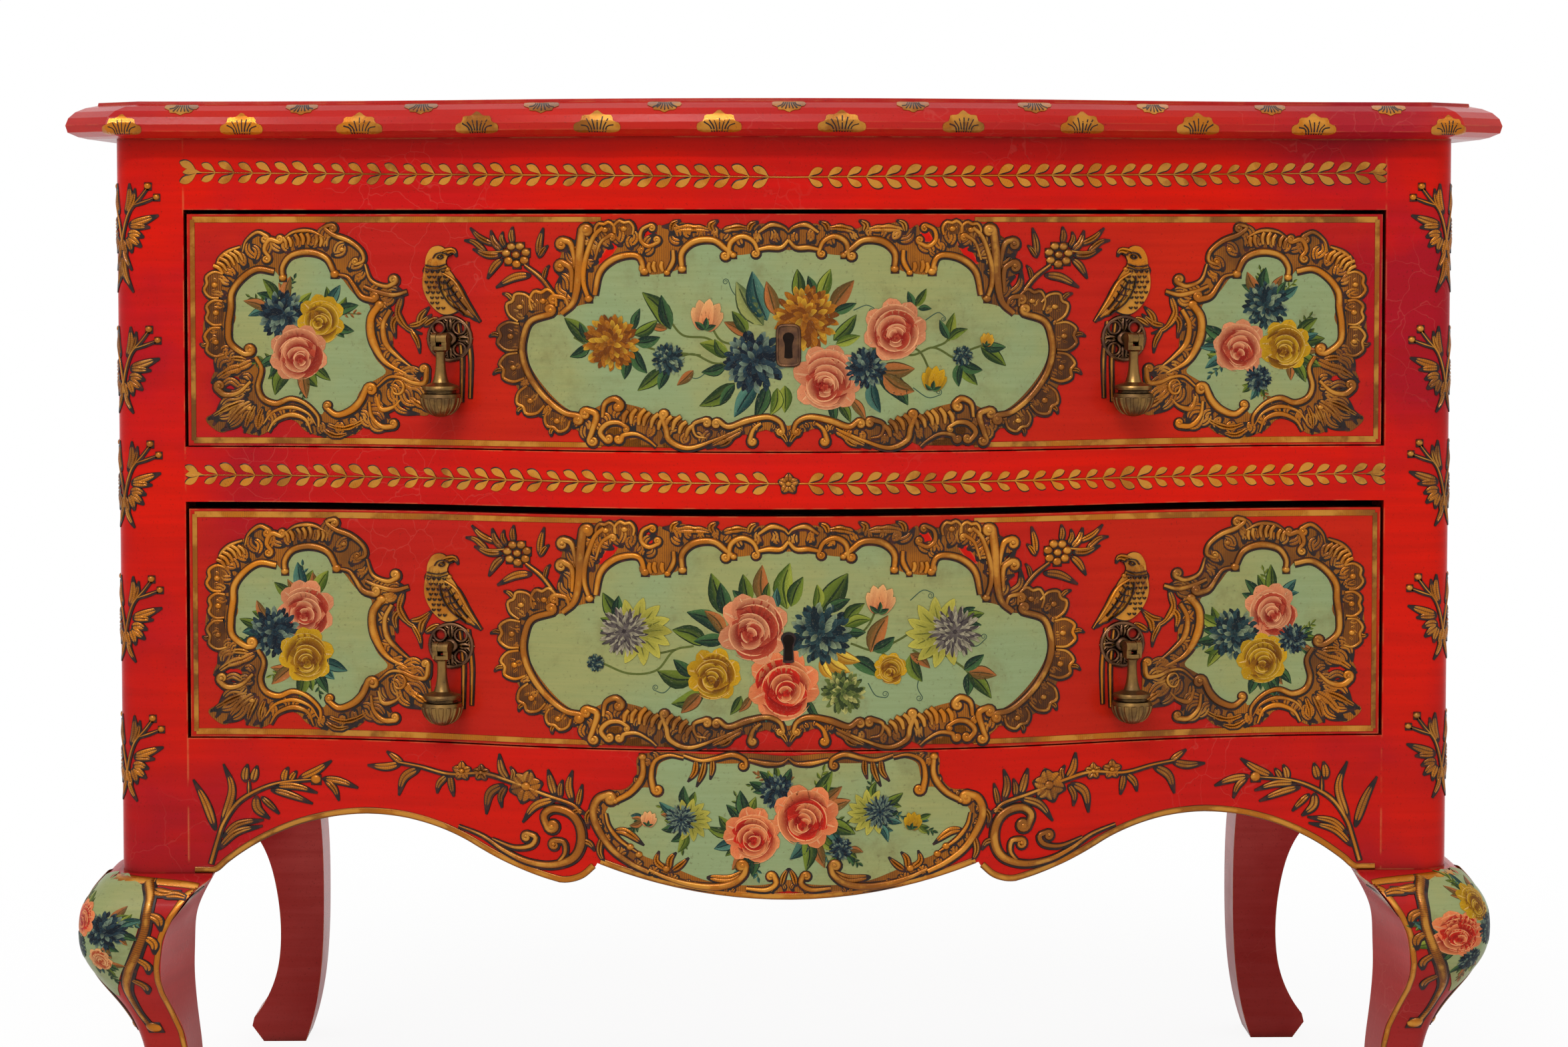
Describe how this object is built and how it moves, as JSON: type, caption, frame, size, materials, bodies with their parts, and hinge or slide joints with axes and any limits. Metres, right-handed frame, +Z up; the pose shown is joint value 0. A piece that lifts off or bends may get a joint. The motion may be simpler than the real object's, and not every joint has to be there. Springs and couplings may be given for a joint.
{
  "type": "chest of drawers",
  "caption": "Serpentine-fronted red lacquered chest on cabriole legs, with gilt relief and painted flowers, sliding drawers, bolt locks and hinged drop pulls.",
  "frame": {"origin": "on the floor, below the middle of the top board", "axes": "+X to the right along the front, +Y from front to back, +Z up"},
  "size_m": [1.18, 0.565, 0.86],
  "materials": {
    "red_lacquer": "glossy red lacquer with gilt relief and painted flowers",
    "bare_wood": "bare planed softwood",
    "brass": "dark patinated cast brass",
    "iron": "dark wrought iron"
  },
  "bodies": {
    "carcass": {"back_boards": "bare_wood", "bottom_rail": "bare_wood", "corner_blocks": "bare_wood", "drawer_kickers": "bare_wood", "drawer_stops": "bare_wood", "frieze_rail": "red_lacquer", "front_apron": "red_lacquer", "front_left_leg": "red_lacquer", "front_left_post": "red_lacquer", "front_right_leg": "red_lacquer", "front_right_post": "red_lacquer", "left_side_panel": "red_lacquer", "leg_dowels": "bare_wood", "lower_back_rail": "bare_wood", "lower_dust_board": "bare_wood", "lower_guides": "bare_wood", "lower_runners": "bare_wood", "middle_rail": "red_lacquer", "rear_left_leg": "red_lacquer", "rear_left_post": "red_lacquer", "rear_right_leg": "red_lacquer", "rear_right_post": "red_lacquer", "right_side_panel": "red_lacquer", "top_board": "red_lacquer", "top_cleats": "bare_wood", "top_screws": "iron", "upper_back_rail": "bare_wood", "upper_dust_board": "bare_wood", "upper_guides": "bare_wood", "upper_runners": "bare_wood"},
    "lower_drawer": {"lower_drawer_back": "bare_wood", "lower_drawer_bottom": "bare_wood", "lower_drawer_front": "red_lacquer", "lower_drawer_left_side": "bare_wood", "lower_drawer_right_side": "bare_wood", "lower_lock_case": "iron", "lower_lock_screws": "iron", "lower_pull_nuts": "brass", "lower_pull_pins": "brass", "lower_pull_rosettes": "brass", "lower_pull_studs": "brass"},
    "lower_left_drop": {"lower_left_drop": "brass"},
    "lower_lock_bolt": {"lower_lock_bolt": "iron"},
    "lower_right_drop": {"lower_right_drop": "brass"},
    "upper_drawer": {"upper_drawer_back": "bare_wood", "upper_drawer_bottom": "bare_wood", "upper_drawer_front": "red_lacquer", "upper_drawer_left_side": "bare_wood", "upper_drawer_right_side": "bare_wood", "upper_keyhole_escutcheon": "brass", "upper_lock_case": "iron", "upper_lock_screws": "iron", "upper_pull_nuts": "brass", "upper_pull_pins": "brass", "upper_pull_rosettes": "brass", "upper_pull_studs": "brass"},
    "upper_left_drop": {"upper_left_drop": "brass"},
    "upper_lock_bolt": {"upper_lock_bolt": "iron"},
    "upper_right_drop": {"upper_right_drop": "brass"}
  },
  "joints": [
    {"name": "upper_drawer_slide", "type": "slide", "parent": "carcass", "child": "upper_drawer", "axis": [0, -1, 0], "range_m": [0, 0.3]},
    {"name": "upper_bolt_throw", "type": "slide", "parent": "upper_drawer", "child": "upper_lock_bolt", "axis": [0, 0, 1], "range_m": [0, 0.01]},
    {"name": "upper_left_drop_swing", "type": "hinge", "parent": "upper_drawer", "child": "upper_left_drop", "pos_m": [-0.27965, -0.21485, 0.668], "axis": [-0.9495, 0.3139, 0], "range_deg": [0, 120]},
    {"name": "upper_right_drop_swing", "type": "hinge", "parent": "upper_drawer", "child": "upper_right_drop", "pos_m": [0.27965, -0.21485, 0.668], "axis": [-0.9495, -0.3139, 0], "range_deg": [0, 120]},
    {"name": "lower_drawer_slide", "type": "slide", "parent": "carcass", "child": "lower_drawer", "axis": [0, -1, 0], "range_m": [0, 0.3]},
    {"name": "lower_bolt_throw", "type": "slide", "parent": "lower_drawer", "child": "lower_lock_bolt", "axis": [0, 0, 1], "range_m": [0, 0.01]},
    {"name": "lower_left_drop_swing", "type": "hinge", "parent": "lower_drawer", "child": "lower_left_drop", "pos_m": [-0.27965, -0.21485, 0.418], "axis": [-0.9495, 0.3139, 0], "range_deg": [0, 120]},
    {"name": "lower_right_drop_swing", "type": "hinge", "parent": "lower_drawer", "child": "lower_right_drop", "pos_m": [0.27965, -0.21485, 0.418], "axis": [-0.9495, -0.3139, 0], "range_deg": [0, 120]}
  ]
}
